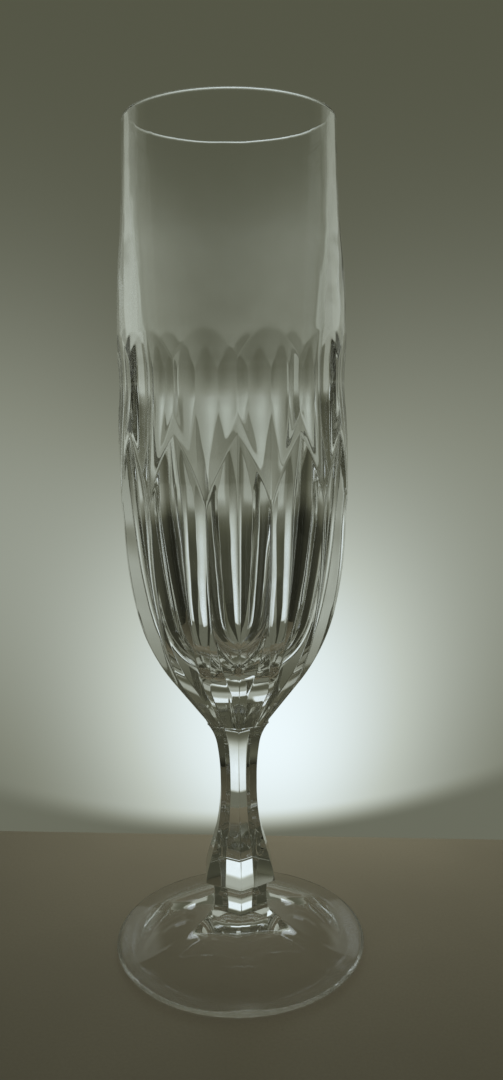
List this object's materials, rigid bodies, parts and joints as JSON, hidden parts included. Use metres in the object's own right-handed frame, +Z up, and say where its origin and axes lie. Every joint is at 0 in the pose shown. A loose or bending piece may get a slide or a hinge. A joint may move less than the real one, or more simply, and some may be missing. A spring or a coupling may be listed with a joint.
{
  "type": "champagne flute",
  "caption": "Tall cut crystal flute: straight deep bowl with a band of petals over mitred flutes, hexagonal stem and collar, round faceted foot.",
  "frame": {"origin": "middle of the foot's resting plane", "axes": "+Z up the axis of the glass from foot to rim; -Y faces a stem edge and the crease of a bowl flute"},
  "size_m": [0.0666, 0.0666, 0.21],
  "materials": {
    "bowl_crystal": "fire-polished clear crystal",
    "stem_crystal": "cut and polished clear crystal",
    "foot_crystal": "pressed and polished clear crystal"
  },
  "bodies": {
    "root": {"bowl": "bowl_crystal", "stem": "stem_crystal", "collar": "stem_crystal", "foot": "foot_crystal"}
  },
  "joints": []
}
